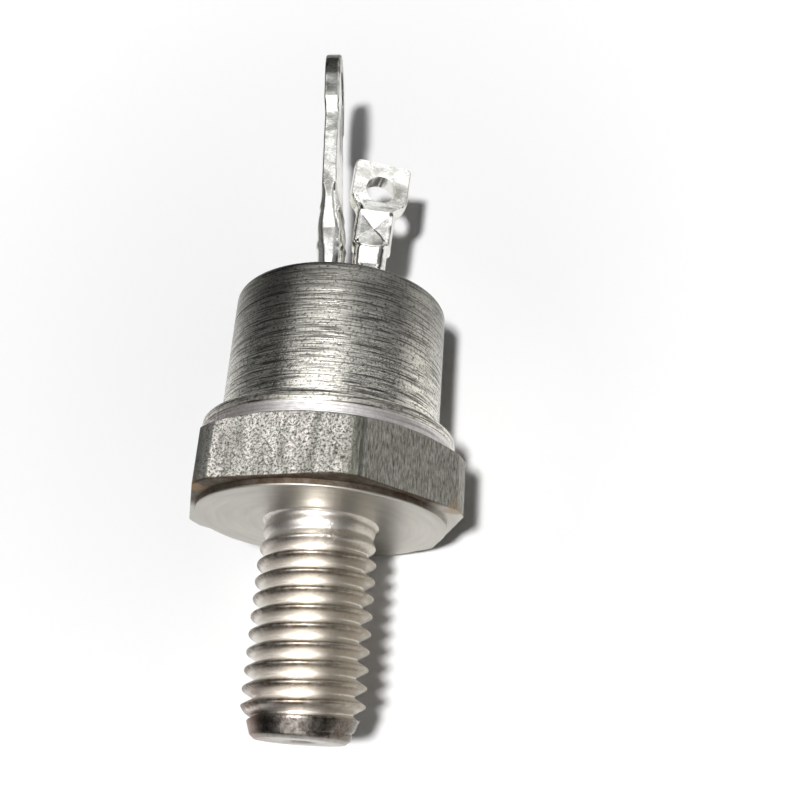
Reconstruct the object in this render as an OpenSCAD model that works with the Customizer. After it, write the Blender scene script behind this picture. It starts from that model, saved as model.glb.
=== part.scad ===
// Stud-mount thyristor in a welded metal can, lying at rest on one flat of its hexagon.
// Every module is drawn upright, with the axis along +Z and the seating face at z = 0, and
// lay() then turns it over, so that the axis runs along +Y and the terminals point to +Y.

/* [Stud] */
// Major diameter of the 1/4-28 UNF stud thread
stud_d = 6.32; // [5:0.02:7]
// Length of the stud under the seating face
stud_l = 11.15; // [8:0.05:16]
// Diameter at the start of the point cone
point_d = 5.7; // [3.5:0.05:5.9]
// Length of the point cone
point_l = 1.0; // [0.5:0.05:2]
// Diameter of the end face of the stud
end_d = 4.7; // [2.4:0.05:5.6]
// Diameter of the centre mark in the end face
centre_d = 1.7; // [0.6:0.1:2.2]
// Depth of the centre mark
centre_depth = 0.4; // [0.1:0.05:1]

/* [Hexagon] */
// Width across the flats
hex_af = 14.1; // [13.8:0.05:14.6]
// Diameter of the turned corners
hex_corner_d = 15.6; // [15.3:0.05:16.2]
// Height of the flats
hex_h = 3.44; // [2:0.05:6]
// Slope of the top bevel of the hexagon
hex_bevel = 25.5; // [15:0.5:40]
// Width of the top bevel at the corners
hex_bevel_w = 0.77; // [0.3:0.01:1.2]
// Diameter of the raised seating face
seat_d = 13.6; // [10:0.05:14]
// Height of the raised seating face
seat_h = 0.36; // [0.1:0.02:0.8]
// Chamfer round the raised seating face
seat_chamfer = 0.1; // [0.02:0.02:0.15]

/* [Pedestal and weld ring] */
// Diameter of the pedestal that carries the die
pedestal_d = 9.2; // [8.2:0.1:9.6]
// Height of the pedestal over the hexagon
pedestal_h = 1.2; // [0.8:0.1:2]
// Distance of the weld ring and of the cap's flange inside the flats
ring_inset = 0.02; // [0.02:0.01:0.3]
// Height of the weld ring
ring_h = 0.62; // [0.4:0.02:0.7]
// Clearance between the pedestal and the weld ring
ring_clearance = 0.15; // [0.05:0.01:0.3]
// Bevel along the joint of the weld ring and the flange
joint_bevel = 0.05; // [0.02:0.01:0.1]

/* [Cap] */
// Outer diameter of the cap's wall
cap_d = 12.2; // [11.6:0.05:12.8]
// Height of the cap, from its flange's underside to its top
cap_h = 8.53; // [7:0.05:12]
// Thickness of the cap's wall and top
cap_wall = 0.5; // [0.3:0.05:0.7]
// Height of the straight edge of the flange
flange_edge_h = 0.56; // [0.3:0.02:0.8]
// Rounding of the flange's upper edge
flange_r = 0.16; // [0.05:0.01:0.2]
// Slope of the flange's upper face
flange_slope = 25; // [5:1:35]
// Height of the scribed line on the wall, over the cap's underside
scribe_height = 6.68; // [5:0.02:7.5]
// Depth of the scribed line, which is twice as wide
scribe_depth = 0.03; // [0.01:0.01:0.1]
// Rounding of the rim between wall and top
rim_r = 0.35; // [0.1:0.05:0.45]
// Depth of the collar that is drawn down round the glass
collar_h = 1.9; // [1.4:0.1:2.6]

/* [Glass seal] */
// Diameter of the glass
glass_d = 7; // [6.4:0.1:8]
// Thickness of the glass at its edge
glass_h = 1.5; // [1:0.1:2]
// Depth of the glass's edge under the top of the cap
glass_sink = 0.2; // [0.1:0.05:0.4]
// Rise of the glass in its middle
glass_rise = 0.25; // [0.1:0.05:0.4]

/* [Terminal tubes] */
// Outer diameter of both terminal tubes
tube_d = 1.9; // [1.6:0.05:2.1]
// Bore of both terminal tubes
tube_bore = 1; // [0.8:0.05:1.1]
// Length of the tubes under the glass
tube_tail = 0.7; // [0.4:0.1:1]
// Distance of the cathode tube from the axis
cathode_offset = 0.97; // [0.95:0.01:1.4]
// Distance of the gate tube from the axis
gate_offset = 1.33; // [1.2:0.01:1.6]
// Angle of the row of terminals about the axis, from the resting flat
terminal_clock = 19.5; // [0:0.5:60]
// Height over the cap at which the tubes start to be squeezed
squeeze_start = 2.3; // [1.8:0.1:2.8]
// Height over the cap at which the terminals are bent apart
bend_height = 3.55; // [3.2:0.05:3.8]
// Lean of the cathode terminal, away from the gate
cathode_lean = 4.1; // [0:0.1:8]
// Lean of the gate terminal, away from the cathode
gate_lean = 3; // [0:0.1:8]
// Turn of the cathode's crimp about its own axis
cathode_crimp_twist = -9; // [-15:0.5:15]
// Turn of the cathode's stem and tang about their own axis
cathode_twist = -3; // [-15:0.5:15]
// Turn of the gate's crimp about its own axis
gate_crimp_twist = 1; // [-15:0.5:15]
// Turn of the gate's tang about its own axis
gate_twist = 11.5; // [-15:0.5:15]

/* [Crimps] */
// Width of the squeezed tube under a crimp
squeeze_w = 2.06; // [1.9:0.02:2.08]
// Thickness of the squeezed tube under a crimp
squeeze_t = 1.5; // [1.3:0.02:1.7]
// Height over the bend at which a crimp starts
crimp_start = 0.95; // [0.8:0.05:1.4]
// Length of a crimp
crimp_l = 2.95; // [2.4:0.05:3.4]
// Length of the taper at a crimp's upper end
crimp_taper = 0.7; // [0.4:0.05:1]
// Width of a crimp
crimp_w = 2.38; // [2.1:0.02:2.8]
// Thickness of a crimp
crimp_t = 1.86; // [1.6:0.02:2]
// Rounding of a crimp's corners
crimp_round = 0.5; // [0.3:0.05:0.7]
// Rounding of the long edges of both tangs and of the stem
tang_edge_r = 0.2; // [0.1:0.02:0.3]
// Depth of the four-sided indents of a crimp
indent_depth = 0.3; // [0.1:0.02:0.36]

/* [Gate tang] */
// Width of the gate tang
gate_tang_w = 3.55; // [3:0.05:4.2]
// Thickness of the gate tang
gate_tang_t = 1.1; // [0.8:0.05:1.4]
// Length of the gate tang over its crimp
gate_tang_l = 3; // [2.9:0.05:4.5]
// Diameter of the gate tang's hole
gate_hole_d = 1.86; // [1.2:0.02:2.2]
// Distance of the gate tang's hole from its top
gate_hole_drop = 1.9; // [1.5:0.02:2.1]

/* [Cathode tang] */
// Thickness of the cathode terminal's flat blade
cathode_blade_t = 0.92; // [0.8:0.02:1.4]
// Width of the cathode terminal's stem
cathode_stem_w = 2.7; // [2.5:0.05:3.2]
// Length of the stem over the crimp
cathode_stem_l = 6.8; // [3:0.1:9]
// Width of the cathode tang
cathode_tang_w = 4.2; // [3.6:0.05:5.2]
// Thickness of the cathode tang
cathode_tang_t = 0.98; // [0.9:0.02:1.5]
// Length of the cathode tang
cathode_tang_l = 4.4; // [4.2:0.1:6.5]
// Diameter of the cathode tang's hole
cathode_hole_d = 2.2; // [1.6:0.05:2.6]
// Distance of the cathode tang's hole from its top
cathode_hole_drop = 2.1; // [1.9:0.05:2.4]

/* [Die and contacts] */
// Thickness of the soft solder under the backing plate
solder_h = 0.08; // [0.05:0.01:0.15]
// Diameter of the molybdenum backing plate
backing_d = 8; // [7.8:0.1:8.2]
// Thickness of the molybdenum backing plate
backing_h = 0.9; // [0.5:0.05:1.2]
// Thickness of the alloy bond under the die
bond_h = 0.06; // [0.04:0.01:0.1]
// Diameter of the silicon die at its base
die_d = 7; // [6.6:0.1:7.1]
// Thickness of the silicon die
die_h = 0.36; // [0.25:0.01:0.5]
// Angle of the die's bevelled edge from its face
die_bevel = 50; // [35:1:70]
// Diameter of the cathode contact disc
contact_d = 4.4; // [3.6:0.1:4.6]
// Thickness of the cathode contact disc
contact_h = 0.4; // [0.2:0.05:0.6]
// Distance of the contact disc's middle from the axis
contact_offset = 0.75; // [0.6:0.05:0.9]
// Width of the varnish over the die's edge
varnish_w = 0.4; // [0.2:0.05:0.45]

/* [Inner leads] */
// Clearance of the leads in the bores of the tubes
lead_clearance = 0.06; // [0.02:0.01:0.1]
// Diameter of the cathode lead between the contact disc and its tube
cathode_lead_d = 1.5; // [1:0.1:1.8]
// Diameter of the cathode lead's foot
cathode_foot_d = 2.1; // [1.6:0.1:2.1]
// Diameter of the gate wire
gate_wire_d = 0.4; // [0.2:0.05:0.5]
// Distance of the gate contact from the axis
gate_contact_offset = 2.55; // [2.4:0.05:2.6]
// Outer diameter of the sleeve on the gate wire
sleeve_d = 0.8; // [0.6:0.05:0.9]

/* [Hidden] */

// Circles are true circles in the exact model, and this only sets how smooth they look here
$fn = 96;
// Overrun of every cutter past the face that it cuts
over = 1;
// Width of the blocks and cutters that reach past both sides of every tang and crimp
past_tangs = 1.5 * max(cathode_tang_w, gate_tang_w, crimp_w);

// Heights over the seating face
hex_top = seat_h + hex_h;
pedestal_top = hex_top + pedestal_h;
ring_top = hex_top + ring_h;
cap_top = ring_top + cap_h;
glass_edge = cap_top - glass_sink;
glass_under = glass_edge - glass_h;
tube_low = glass_under - tube_tail;
bend_z = cap_top + bend_height;
squeeze_z = cap_top + squeeze_start;

// Diameter of the weld ring and of the flange, and height of the line scribed on the wall
ring_d = hex_af - 2 * ring_inset;
scribe_z = ring_top + scribe_height;

// Stations along the inner stack
solder_top = pedestal_top + solder_h;
backing_top = solder_top + backing_h;
bond_top = backing_top + bond_h;
die_top = bond_top + die_h;
contact_top = die_top + contact_h;
die_top_d = die_d - 2 * die_h / tan(die_bevel);

// Stations along a terminal, over its bend
crimp_end = crimp_start + crimp_l;
cathode_tang_z = crimp_end + cathode_stem_l;
cathode_top_z = cathode_tang_z + cathode_tang_l;
gate_top_z = crimp_end + gate_tang_l;

// Where a crimp starts to hold its lead, where the lead ends, and how thick the held lead is
grip_z = bend_z + crimp_start;
lead_end = grip_z + 0.85;
held_lead_d = tube_bore - 2 * lead_clearance;

// Heights of the gate wire's two knees, and how thick they are
wire_low = die_top + 0.9;
wire_high = wire_low + 1.6;
knee_d = 1.12 * gate_wire_d;

// Turns the upright model over on one flat: its axis comes to lie along +Y
module lay() {
    rotate([-90, 0, 0]) children();
}

// Turns the row of terminals about the axis
module clocked() {
    rotate([0, 0, terminal_clock]) children();
}

// Moves a terminal's upper part to its bend and leans it sideways
module leaned(x, lean) {
    translate([x, 0, bend_z]) rotate([0, lean, 0]) children();
}

// Flat section with round ends, w wide along X and t thick
module stadium(w, t) {
    flat = w - t;
    for (side = [-1, 1]) translate([side * flat / 2, 0]) circle(d = t);
    square([flat, t], center = true);
}

// Block whose thickness along Y runs from t_low at z_low to t_high at z_high
module wedge(t_low, t_high, z_low, z_high) {
    rotate([90, 0, 90]) linear_extrude(past_tangs, center = true) polygon([
        [-t_low / 2, z_low], [t_low / 2, z_low], [t_high / 2, z_high], [-t_high / 2, z_high]]);
}

// Blank of the base before its flats are cut: a disc with a bevelled top edge
module hex_blank() {
    corner_r = hex_corner_d / 2;
    bevel_drop = hex_bevel_w * tan(hex_bevel);
    rotate_extrude() polygon([
        [0, seat_h], [corner_r, seat_h], [corner_r, hex_top - bevel_drop],
        [corner_r - hex_bevel_w, hex_top], [0, hex_top]]);
}

// Prism with six flats, one of them facing each of -Y and +Y
module flats() {
    cylinder(h = 3 * hex_top, d = hex_af / cos(30), center = true, $fn = 6);
}

// Stud, raised seat and pedestal as one turned profile
module turned_core() {
    r = stud_d / 2;
    rp = point_d / 2;
    rs = seat_d / 2;
    z_point = point_l - stud_l;
    mid_hex = seat_h + hex_h / 2;
    rotate_extrude() polygon([
        [0, -stud_l], [end_d / 2, -stud_l], [rp, z_point], [r, z_point + r - rp], [r, 0],
        [rs - seat_chamfer, 0], [rs, seat_chamfer], [rs, mid_hex],
        [pedestal_d / 2, mid_hex], [pedestal_d / 2, pedestal_top], [0, pedestal_top]]);
}

// Copper base: threaded stud, hexagon, raised seat and pedestal are one piece
module stud_base() {
    color([0.66, 0.65, 0.58]) lay() difference() {
        union() {
            intersection() {
                hex_blank();
                flats();
            }
            turned_core();
        }
        translate([0, 0, -stud_l - over]) cylinder(h = over + centre_depth, d = centre_d);
    }
}

// Steel ring on the hexagon, to which the cap's flange is welded
module weld_ring() {
    r_in = pedestal_d / 2 + ring_clearance;
    r_out = ring_d / 2;
    color([0.72, 0.71, 0.66]) lay() rotate_extrude() polygon([
        [r_in, hex_top], [r_out, hex_top], [r_out, ring_top - joint_bevel],
        [r_out - joint_bevel, ring_top], [r_in, ring_top]]);
}

// Drawn cap: flange, wall, top and the collar round the glass
module cap() {
    r = cap_d / 2;
    ri = r - cap_wall;
    rf = ring_d / 2;
    rg = glass_d / 2;
    // Middle of the flange's rounded edge, and the point where its slope leaves the rounding
    edge_mid = [rf - flange_r, ring_top + flange_edge_h - flange_r];
    slope_low = edge_mid + flange_r * [sin(flange_slope), cos(flange_slope)];
    flange_top = slope_low[1] + (slope_low[0] - r) * tan(flange_slope);
    color([0.75, 0.74, 0.68]) lay() rotate_extrude() {
        polygon([
            [ri, ring_top], [rf - joint_bevel, ring_top], [rf, ring_top + joint_bevel],
            [rf, edge_mid[1]], slope_low, [r, flange_top],
            [r, scribe_z - scribe_depth], [r - scribe_depth, scribe_z], [r, scribe_z + scribe_depth],
            [r, cap_top - rim_r], [r - rim_r, cap_top], [rg, cap_top],
            [rg, cap_top - collar_h], [rg + cap_wall, cap_top - collar_h],
            [rg + cap_wall, cap_top - cap_wall], [ri, cap_top - cap_wall]]);
        translate(edge_mid) circle(r = flange_r);
        translate([r - rim_r, cap_top - rim_r]) circle(r = rim_r);
    }
}

// Bores of the two tubes, cut from whatever the tubes pass through
module tube_bores() {
    clocked() for (x = [-cathode_offset, gate_offset])
        translate([x, 0, tube_low]) cylinder(h = bend_z - tube_low, d = tube_d);
}

// Glass disc, fused into the cap's collar and round both tubes
module glass_seal() {
    r = glass_d / 2;
    // Radius of the shallow dome on the glass
    dome_r = (r * r + glass_rise * glass_rise) / (2 * glass_rise);
    color([0.16, 0.3, 0.26]) lay() difference() {
        rotate_extrude() intersection() {
            translate([0, glass_under]) square([r, glass_h + 2 * glass_rise]);
            translate([0, glass_edge + glass_rise - dome_r]) circle(r = dome_r, $fn = 720);
        }
        tube_bores();
    }
}

// Lower part of a terminal: the round tube in the glass, squeezed flat towards the bend
module terminal_tube() {
    cylinder_top = bend_z + 0.05;
    translate([0, 0, tube_low]) cylinder(h = squeeze_z - tube_low, d = tube_d);
    intersection() {
        translate([0, 0, squeeze_z - 0.1]) cylinder(h = cylinder_top - squeeze_z + 0.1, d = tube_d);
        wedge(tube_d + 0.2, squeeze_t - 0.1, squeeze_z - 0.2, cylinder_top);
    }
}

// Bore for an inner lead: open up to the crimp, and closed on the lead inside the crimp
module lead_bore(lead_d) {
    translate([0, 0, tube_low - over]) cylinder(h = grip_z - tube_low + over, d = tube_bore);
    translate([0, 0, grip_z - 0.1]) cylinder(h = lead_end - grip_z + 0.1, d = lead_d);
}

// Rectangle w by t with round corners
module round_rect(w, t, r) {
    for (x = [r - w / 2, w / 2 - r], y = [r - t / 2, t / 2 - r]) translate([x, y]) circle(r = r);
    square([w - 2 * r, t], center = true);
    square([w, t - 2 * r], center = true);
}

// Four-sided indent of the crimping tool, sunk into the crimp's face at -Y
module indent() {
    half = (crimp_l - crimp_taper) / 2 - 0.05;
    mouth = [[-half, 0], [half, 0], [0, indent_depth]];
    translate([0, -crimp_t / 2 - 0.01, crimp_start + (crimp_l - crimp_taper) / 2]) intersection() {
        linear_extrude(2 * half, center = true) polygon(mouth);
        rotate([0, 90, 0]) linear_extrude(2 * half, center = true) polygon(mouth);
    }
}

// Crimp over the bend: the squeezed tube, a collar with an indent on both faces, and a taper
// that ends neck_w wide and neck_t thick, and is turned by neck_turn from the collar
module crimp(neck_w, neck_t, neck_turn) {
    taper_z = crimp_end - crimp_taper;
    difference() {
        union() {
            translate([0, 0, -0.3]) linear_extrude(crimp_start + 0.6) stadium(squeeze_w, squeeze_t);
            translate([0, 0, crimp_start]) linear_extrude(crimp_l - crimp_taper)
                round_rect(crimp_w, crimp_t, crimp_round);
        }
        indent();
        mirror([0, 1, 0]) indent();
    }
    rotate([0, 0, neck_turn]) intersection() {
        translate([0, 0, taper_z - 0.15]) linear_extrude(crimp_taper + 0.15) stadium(neck_w, crimp_t - 0.06);
        wedge(crimp_t + 0.1, neck_t, taper_z - 0.2, crimp_end + 0.05);
    }
}

// Flat plate with rounded edges and an outline with rounded corners
module tang(w, t, low, high, low_r, high_r) {
    // The outline is a little wider than the plate, so that its sides stay clear of the plate's
    half = w / 2 + 0.04;
    intersection() {
        translate([0, 0, low]) linear_extrude(high - low) round_rect(w, t, tang_edge_r);
        rotate([90, 0, 0]) linear_extrude(2 * t, center = true) {
            for (side = [-1, 1]) {
                translate([side * (half - high_r), high - high_r]) circle(r = high_r);
                translate([side * (half - low_r), low + low_r]) circle(r = low_r);
            }
            translate([-half, low + low_r]) square([2 * half, high - high_r - low - low_r]);
            translate([high_r - half, high - 2 * high_r]) square([2 * (half - high_r), 2 * high_r]);
            translate([low_r - half, low]) square([2 * (half - low_r), 2 * low_r]);
        }
    }
}

// Solder hole through a tang
module tang_hole(d, z) {
    translate([0, 0, z]) rotate([90, 0, 0]) cylinder(h = past_tangs, d = d, center = true);
}

// Gate terminal: the short one, with its tang facing the reader
module gate_terminal() {
    color([0.8, 0.79, 0.73]) lay() clocked() difference() {
        union() {
            translate([gate_offset, 0, 0]) terminal_tube();
            leaned(gate_offset, gate_lean) {
                rotate([0, 0, gate_crimp_twist])
                    crimp(gate_tang_w - 0.9, gate_tang_t - 0.06, (gate_twist - gate_crimp_twist) / 2);
                rotate([0, 0, gate_twist]) difference() {
                    tang(gate_tang_w, gate_tang_t, crimp_end - 0.15, gate_top_z,
                        0.2 * gate_tang_w, 0.1 * gate_tang_w);
                    tang_hole(gate_hole_d, gate_top_z - gate_hole_drop);
                }
            }
        }
        translate([gate_offset, 0, 0]) lead_bore(gate_wire_d);
    }
}

// Stem and tang of the cathode terminal, with its solder hole
module cathode_blade() {
    difference() {
        union() {
            translate([0, 0, crimp_end - 0.1]) linear_extrude(cathode_stem_l + 1.1)
                round_rect(cathode_stem_w, cathode_blade_t, tang_edge_r);
            tang(cathode_tang_w, cathode_tang_t, cathode_tang_z, cathode_top_z,
                0.24 * cathode_tang_w, 0.45 * cathode_tang_w);
        }
        tang_hole(cathode_hole_d, cathode_top_z - cathode_hole_drop);
    }
}

// Cathode terminal: the tall one, seen on edge, with a stem between crimp and tang
module cathode_terminal() {
    color([0.76, 0.75, 0.69]) lay() clocked() difference() {
        union() {
            translate([-cathode_offset, 0, 0]) rotate([0, 0, 90]) terminal_tube();
            leaned(-cathode_offset, -cathode_lean) {
                rotate([0, 0, 90 + cathode_crimp_twist])
                    crimp(cathode_stem_w - 0.06, cathode_blade_t - 0.06,
                        (cathode_twist - cathode_crimp_twist) / 2);
                rotate([0, 0, 90 + cathode_twist]) cathode_blade();
            }
        }
        translate([-cathode_offset, 0, 0]) lead_bore(held_lead_d);
    }
}

// Soft solder between the pedestal and the backing plate
module backing_solder() {
    color([0.62, 0.62, 0.64]) lay() translate([0, 0, pedestal_top]) cylinder(h = solder_h, d = backing_d);
}

// Molybdenum plate that takes up the strain between copper and silicon
module backing_plate() {
    color([0.5, 0.5, 0.53]) lay() translate([0, 0, solder_top]) cylinder(h = backing_h, d = backing_d);
}

// Hard alloy between the backing plate and the die
module die_bond() {
    color([0.7, 0.7, 0.72]) lay() translate([0, 0, backing_top]) cylinder(h = bond_h, d = die_d);
}

// Silicon die with its edge lapped to a bevel
module silicon_die() {
    color([0.25, 0.26, 0.32]) lay() translate([0, 0, bond_top]) cylinder(h = die_h, d1 = die_d, d2 = die_top_d);
}

// Varnish ring over the die's bevelled edge
module edge_varnish() {
    outer_r = die_d / 2 + varnish_w;
    color([0.55, 0.25, 0.15]) lay() rotate_extrude() polygon([
        [die_d / 2, backing_top], [outer_r, backing_top], [die_top_d / 2 + varnish_w / 2, die_top],
        [die_top_d / 2, die_top], [die_d / 2, bond_top]]);
}

// Disc on the die's cathode face, clear of the gate contact
module cathode_contact() {
    color([0.6, 0.6, 0.62]) lay() clocked() translate([-contact_offset, 0, die_top])
        cylinder(h = contact_h, d = contact_d);
}

// Stranded lead from the contact disc into the cathode tube
module cathode_lead() {
    foot_h = 0.8;
    taper_l = 0.5;
    taper_z = tube_low - 0.3 - taper_l;
    color([0.72, 0.45, 0.3]) lay() clocked() translate([-cathode_offset, 0, 0]) {
        translate([0, 0, contact_top]) cylinder(h = foot_h, d = cathode_foot_d);
        translate([0, 0, contact_top]) cylinder(h = taper_z - contact_top, d = cathode_lead_d);
        translate([0, 0, taper_z]) cylinder(h = taper_l, d1 = cathode_lead_d, d2 = held_lead_d);
        translate([0, 0, contact_top]) cylinder(h = lead_end - contact_top, d = held_lead_d);
    }
}

// Round bar of diameter d, standing at x in the terminals' plane
module post(x, low, high, d) {
    translate([x, 0, low]) cylinder(h = high - low, d = d);
}

// Gate wire: up from the gate contact, over to its tube by two knees, and up into the tube
module gate_lead() {
    run = [gate_offset - gate_contact_offset, wire_high - wire_low];
    color([0.85, 0.83, 0.75]) lay() clocked() {
        post(gate_contact_offset, die_top, wire_low, gate_wire_d);
        translate([gate_contact_offset, 0, wire_low]) {
            sphere(d = knee_d);
            rotate([0, atan2(run[0], run[1]), 0]) cylinder(h = norm(run), d = gate_wire_d);
        }
        translate([gate_offset, 0, wire_high]) sphere(d = knee_d);
        post(gate_offset, wire_high, lead_end, gate_wire_d);
    }
}

// Insulating sleeve on the gate wire, between its bends and its tube
module gate_sleeve() {
    color([0.9, 0.9, 0.86]) lay() clocked() difference() {
        post(gate_offset, wire_high + 0.3, tube_low - 0.15, sleeve_d);
        post(gate_offset, wire_high - over, tube_low + over, gate_wire_d);
    }
}

stud_base();
weld_ring();
cap();
glass_seal();
cathode_terminal();
gate_terminal();
backing_solder();
backing_plate();
die_bond();
silicon_die();
edge_varnish();
cathode_contact();
cathode_lead();
gate_lead();
gate_sleeve();
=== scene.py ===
"""Looks of a stud-mount thyristor that lies on one flat of its hexagon.

Shapes are worked out upright, in millimetres, with the axis along +Z and the seating face at
z = 0, and placed() then lays them down into the frame, in metres. Materials read places in the
frame in millimetres: x across, y along the axis towards the terminals, and z up.
"""

import math

import bmesh
import bpy
from mathutils import Matrix, Vector


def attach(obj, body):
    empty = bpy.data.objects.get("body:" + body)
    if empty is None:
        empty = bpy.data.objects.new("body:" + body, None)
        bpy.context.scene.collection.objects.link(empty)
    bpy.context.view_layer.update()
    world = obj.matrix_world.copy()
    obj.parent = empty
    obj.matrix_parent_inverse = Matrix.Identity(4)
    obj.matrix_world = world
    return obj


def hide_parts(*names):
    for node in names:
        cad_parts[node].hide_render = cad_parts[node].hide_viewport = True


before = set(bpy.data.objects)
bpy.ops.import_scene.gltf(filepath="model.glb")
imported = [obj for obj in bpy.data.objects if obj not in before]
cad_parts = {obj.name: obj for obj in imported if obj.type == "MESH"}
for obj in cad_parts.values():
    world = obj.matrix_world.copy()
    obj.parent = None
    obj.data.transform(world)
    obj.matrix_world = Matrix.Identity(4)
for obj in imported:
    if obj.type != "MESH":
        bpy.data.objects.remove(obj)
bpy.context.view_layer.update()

MM = 0.001

# What keeps neighbouring points of an outline apart
HAIR = 0.001

# Stud and thread. The point's profile is (radius, height).
PITCH = 25.4 / 28
CREST_R = 3.155
THREAD_DEPTH = 0.6
FLANK = math.radians(60)
CREST_ROUND = 0.12
ROOT_ROUND = 0.1
STUD_L = 11.15
STUD_SINK = 0.02
CREST_LEFT_Z = -2.49
NECK_R = 2.99
NECK_DEPTH_SHARE = 0.1
RUNOUT_START = 0.25
RUNOUT_END = 2.3
FILLET_R = 0.28
POINT_PROFILE = [(3.16, -9.62), (2.84, -10.1), (2.52, -10.98), (2.3, -11.15)]
MARK_R = 0.85
MARK_FLOOR_R = 0.425
MARK_CORE_R = 0.02
MARK_DEPTH = 0.4
MARK_EDGE = 0.05

# Columns of the stud, turns of the thread above the seat, and rows from a crest towards a root
STUD_COLUMNS = 160
TURNS_ABOVE = 4
THREAD_OFFSETS = [0.03, 0.06, 0.09, 0.12, 0.2, 0.28, 0.32, 0.35, 0.39, 0.42]

# Hexagon and seat
APOTHEM = 7.05
CORNER_R = 7.8
CORNER_BLEND = 0.01
SEAT_R = 6.8
SEAT_H = 0.36
SEAT_ROUND = 0.1
HEX_TOP = 3.8
BEVEL_R = 7.03
BEVEL_SLOPE = math.tan(math.radians(25.5))
EDGE_ROUND = 0.07
PEDESTAL_R = 4.6
PEDESTAL_TOP = 5.0
CORE_R = 0.5

# Columns of the hexagon: how many a side has, and more about its corners, in degrees
SIDE_COLUMNS = 40
CORNER_COLUMNS = (-0.9, -0.45, -0.15, 0.15, 0.45, 0.9)

# Weld ring and cap
RING_R = 7.03
RING_INNER_R = 4.75
RING_TOP = 4.42
RING_EDGE = 0.05
CAP_R = 6.1
CAP_TOP = 12.95
CAP_WALL = 0.5
FLANGE_EDGE_TOP = 4.98
FLANGE_ROUND = 0.16
FLANGE_SLOPE = math.radians(25)
RIM_ROUND = 0.3
SCRIBE_Z = 11.1
SCRIBE_DEPTH = 0.03
COLLAR_L = 1.9

# Glass
GLASS_R = 3.5
GLASS_EDGE = 12.75
GLASS_H = 1.5
GLASS_DIP = 0.08
GLASS_RISE = 0.2
COLLAR_CLIMB = 0.14
COLLAR_REACH = 0.18
TUBE_CLIMB = 0.3
TUBE_REACH = 0.2
GLASS_RINGS = 44
GLASS_STEPS = 144
GLASS_CORE_R = 0.2

# Terminals. A hole is (height along the terminal, radius).
TUBE_R = 0.95
TUBE_CORNER = 0.94
TUBE_LOW = 10.55
ROW_TURN = math.radians(19.5)
CATHODE_X = -0.97
GATE_X = 1.33
CATHODE_LEAN = math.radians(-4.1)
GATE_LEAN = math.radians(3.0)
BEND_Z = 16.5
BEND_HALF = 0.6
BEND_STEP = 0.02
CRIMP_LOW = 17.45
CRIMP_HIGH = 19.7
CRIMP_W = 2.38
CRIMP_T = 1.8
CRIMP_SAG = 0.25
INDENT_DEPTH = 0.3
INDENT_RIM = 0.1
INDENT_FACE = 0.3
GATE_TOP = 23.4
GATE_TANG_W = 3.55
GATE_TANG_T = 1.1
GATE_END_R = 0.21
GATE_HOLE = (21.5, 0.93)
GATE_TURN = 11.5
STEM_W = 2.7
STEM_T = 0.92
TANG_LOW = 27.2
TANG_TOP = 31.6
TANG_W = 4.2
TANG_END_W = 4.17
TANG_T = 0.98
TANG_CORNER = 0.16
TANG_END_R = 1.7
TANG_END_RISE = 2.4
TANG_END_TURN = -2.3
CATHODE_HOLE = (29.5, 1.1)
END_STEPS = 8
END_ROUND = 0.16
ROW_STEP = 0.06
OUTLINE_POINTS = 120
TERMINAL_SHARP = 14
CUTTER_L = 6.0
CUTTER_SIDES = 96

# Merging distances of the meshes, in metres
SAME_PLACE = 1e-7
NO_LENGTH = 1e-8

# Colours of stains, and of painted light, shade and reflections
RIM_DARK = (0.05, 0.05, 0.045)
FLANGE_BROWN = (0.16, 0.12, 0.1)
RING_BROWN = (0.18, 0.13, 0.11)
EDGE_BROWN = (0.07, 0.045, 0.025)
CORNER_REFLECTION_DARK = (0.05, 0.055, 0.04)
LEFT_CORNER_BROWN = (0.3, 0.2, 0.1)
RIGHT_CORNER_BROWN = (0.32, 0.22, 0.13)
GROOVE_HIGHLIGHT = (0.96, 0.92, 0.86)
CREST_SHADE_BROWN = (0.16, 0.12, 0.08)
SIDE_SHADE_OLIVE = (0.36, 0.32, 0.24)
THREAD_RED = (0.2, 0.08, 0.05)
POINT_DARK = (0.065, 0.048, 0.034)
POINT_RUST = (0.3, 0.14, 0.09)
TIP_REFLECTION_DARK = (0.1, 0.095, 0.065)
GATE_GREY = (0.3, 0.31, 0.25)

# Camera, in the frame
CAMERA_PLACE = Vector((21.111, -14.717, 48.249)) * MM
CAMERA_RIGHT = Vector((0.9495, 0.0646, -0.3071))
CAMERA_UP = Vector((0.0644, 0.9177, 0.3921))
LENS = 45.0
SENSOR = 36.0
NEAREST = 1 * MM

# Floor. The lifts are light of its own that brings it up to white away from the part: the first
# two near it and further out, for the camera and reflections, and the last far out for the camera.
FLOOR_Z = -APOTHEM * MM
FLOOR_HALF = 600 * MM
FLOOR_MIDDLE = (0, 8, -7)
FLOOR_LIFT = 0.015
FLOOR_EDGE_LIFT = 0.42
FLOOR_LIFT_RANGE = (14, 60)
FLOOR_WIDE_LIFT = 0.5
FLOOR_WIDE_RANGE = (90, 300)
FLOOR_WHITE = (0.98, 0.98, 0.98)
FLOOR_FAR = (0.2, 0.2, 0.2)
FLOOR_FAR_RANGE = (30, 46)

# The lamp, in millimetres, with the brightness that it gives a white surface
KEY_PLACE = (31, -38, 187)
KEY_TARGET = (0, 5, 0)
KEY_SIZE = 18
KEY_LEVEL = 1.03

# Brightness of the room: for every ray, more for reflections, and more for the camera
ROOM_DIM = 0.01
ROOM_BASE = 0.03
ROOM_WHITE = 0.95
ROOM_COLOUR = (0.97, 0.98, 1.0, 1.0)

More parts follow.
